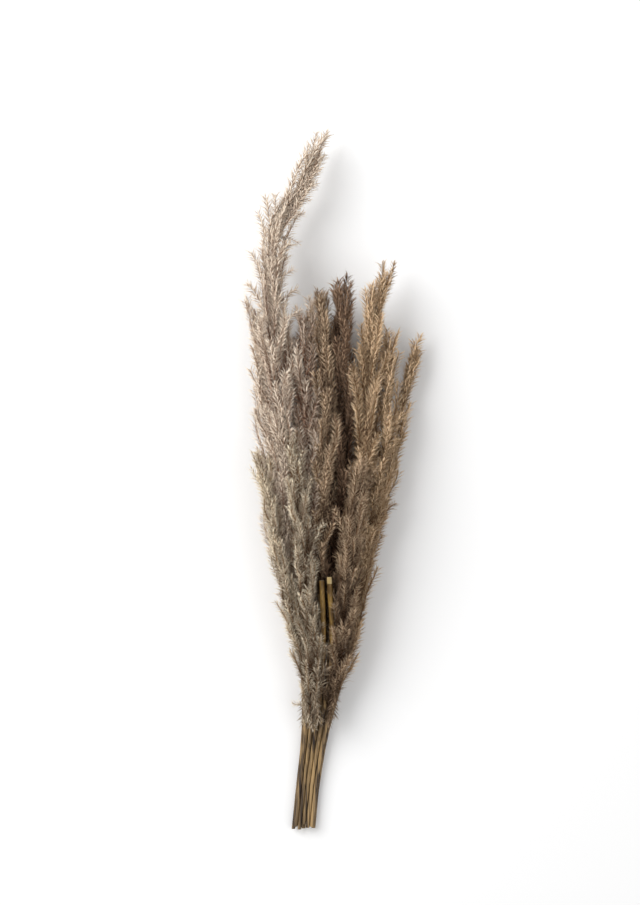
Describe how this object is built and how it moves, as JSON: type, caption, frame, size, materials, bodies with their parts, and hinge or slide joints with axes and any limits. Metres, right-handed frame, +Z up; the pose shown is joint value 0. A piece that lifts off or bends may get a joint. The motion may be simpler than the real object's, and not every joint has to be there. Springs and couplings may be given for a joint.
{
  "type": "dried pampas grass bundle",
  "caption": "Loose bundle of dried pampas grass lying flat: long bare stems packed side by side, fanning out into feathery grey, brown and tan plumes. Used as a decoration.",
  "frame": {"origin": "on the surface that the bundle lies on, under the middle of its bounding box", "axes": "+Y from the cut ends to the tips, +X across the bundle to the right seen from above with the tips away, +Z up"},
  "size_m": [0.1936, 0.7906, 0.0834],
  "materials": {
    "dry_stem": "dry, matt, finely grooved along its length",
    "straw_stub": "dry straw with a slight sheen, pale cut end",
    "grey_plume": "silky dry spikelets and hairs, grey beige",
    "pale_plume": "silky dry spikelets and hairs, pale beige",
    "tan_plume": "dry spikelets and hairs, tan",
    "brown_plume": "dry spikelets and hairs, brown",
    "dark_plume": "dry spikelets and hairs, dark brown"
  },
  "bodies": {
    "root": {"back_left_stem": "dry_stem", "back_left_plume": "grey_plume", "back_middle_stem": "dry_stem", "back_middle_plume": "brown_plume", "back_right_stem": "dry_stem", "back_right_plume": "tan_plume", "left_outer_stem": "dry_stem", "left_outer_plume": "grey_plume", "far_right_stem": "dry_stem", "far_right_plume": "tan_plume", "tall_left_stem": "dry_stem", "tall_left_plume": "grey_plume", "left_inner_stem": "dry_stem", "left_inner_plume": "grey_plume", "centre_front_stem": "dry_stem", "centre_front_plume": "brown_plume", "centre_dark_stem": "dry_stem", "centre_dark_plume": "dark_plume", "right_inner_stem": "dry_stem", "right_inner_plume": "tan_plume", "right_outer_stem": "dry_stem", "right_outer_plume": "tan_plume", "low_left_stem": "dry_stem", "low_left_plume": "pale_plume", "front_low_stem": "dry_stem", "front_low_plume": "pale_plume", "right_low_stem": "dry_stem", "right_low_plume": "brown_plume", "short_stub": "straw_stub", "long_stub": "straw_stub"}
  },
  "joints": []
}
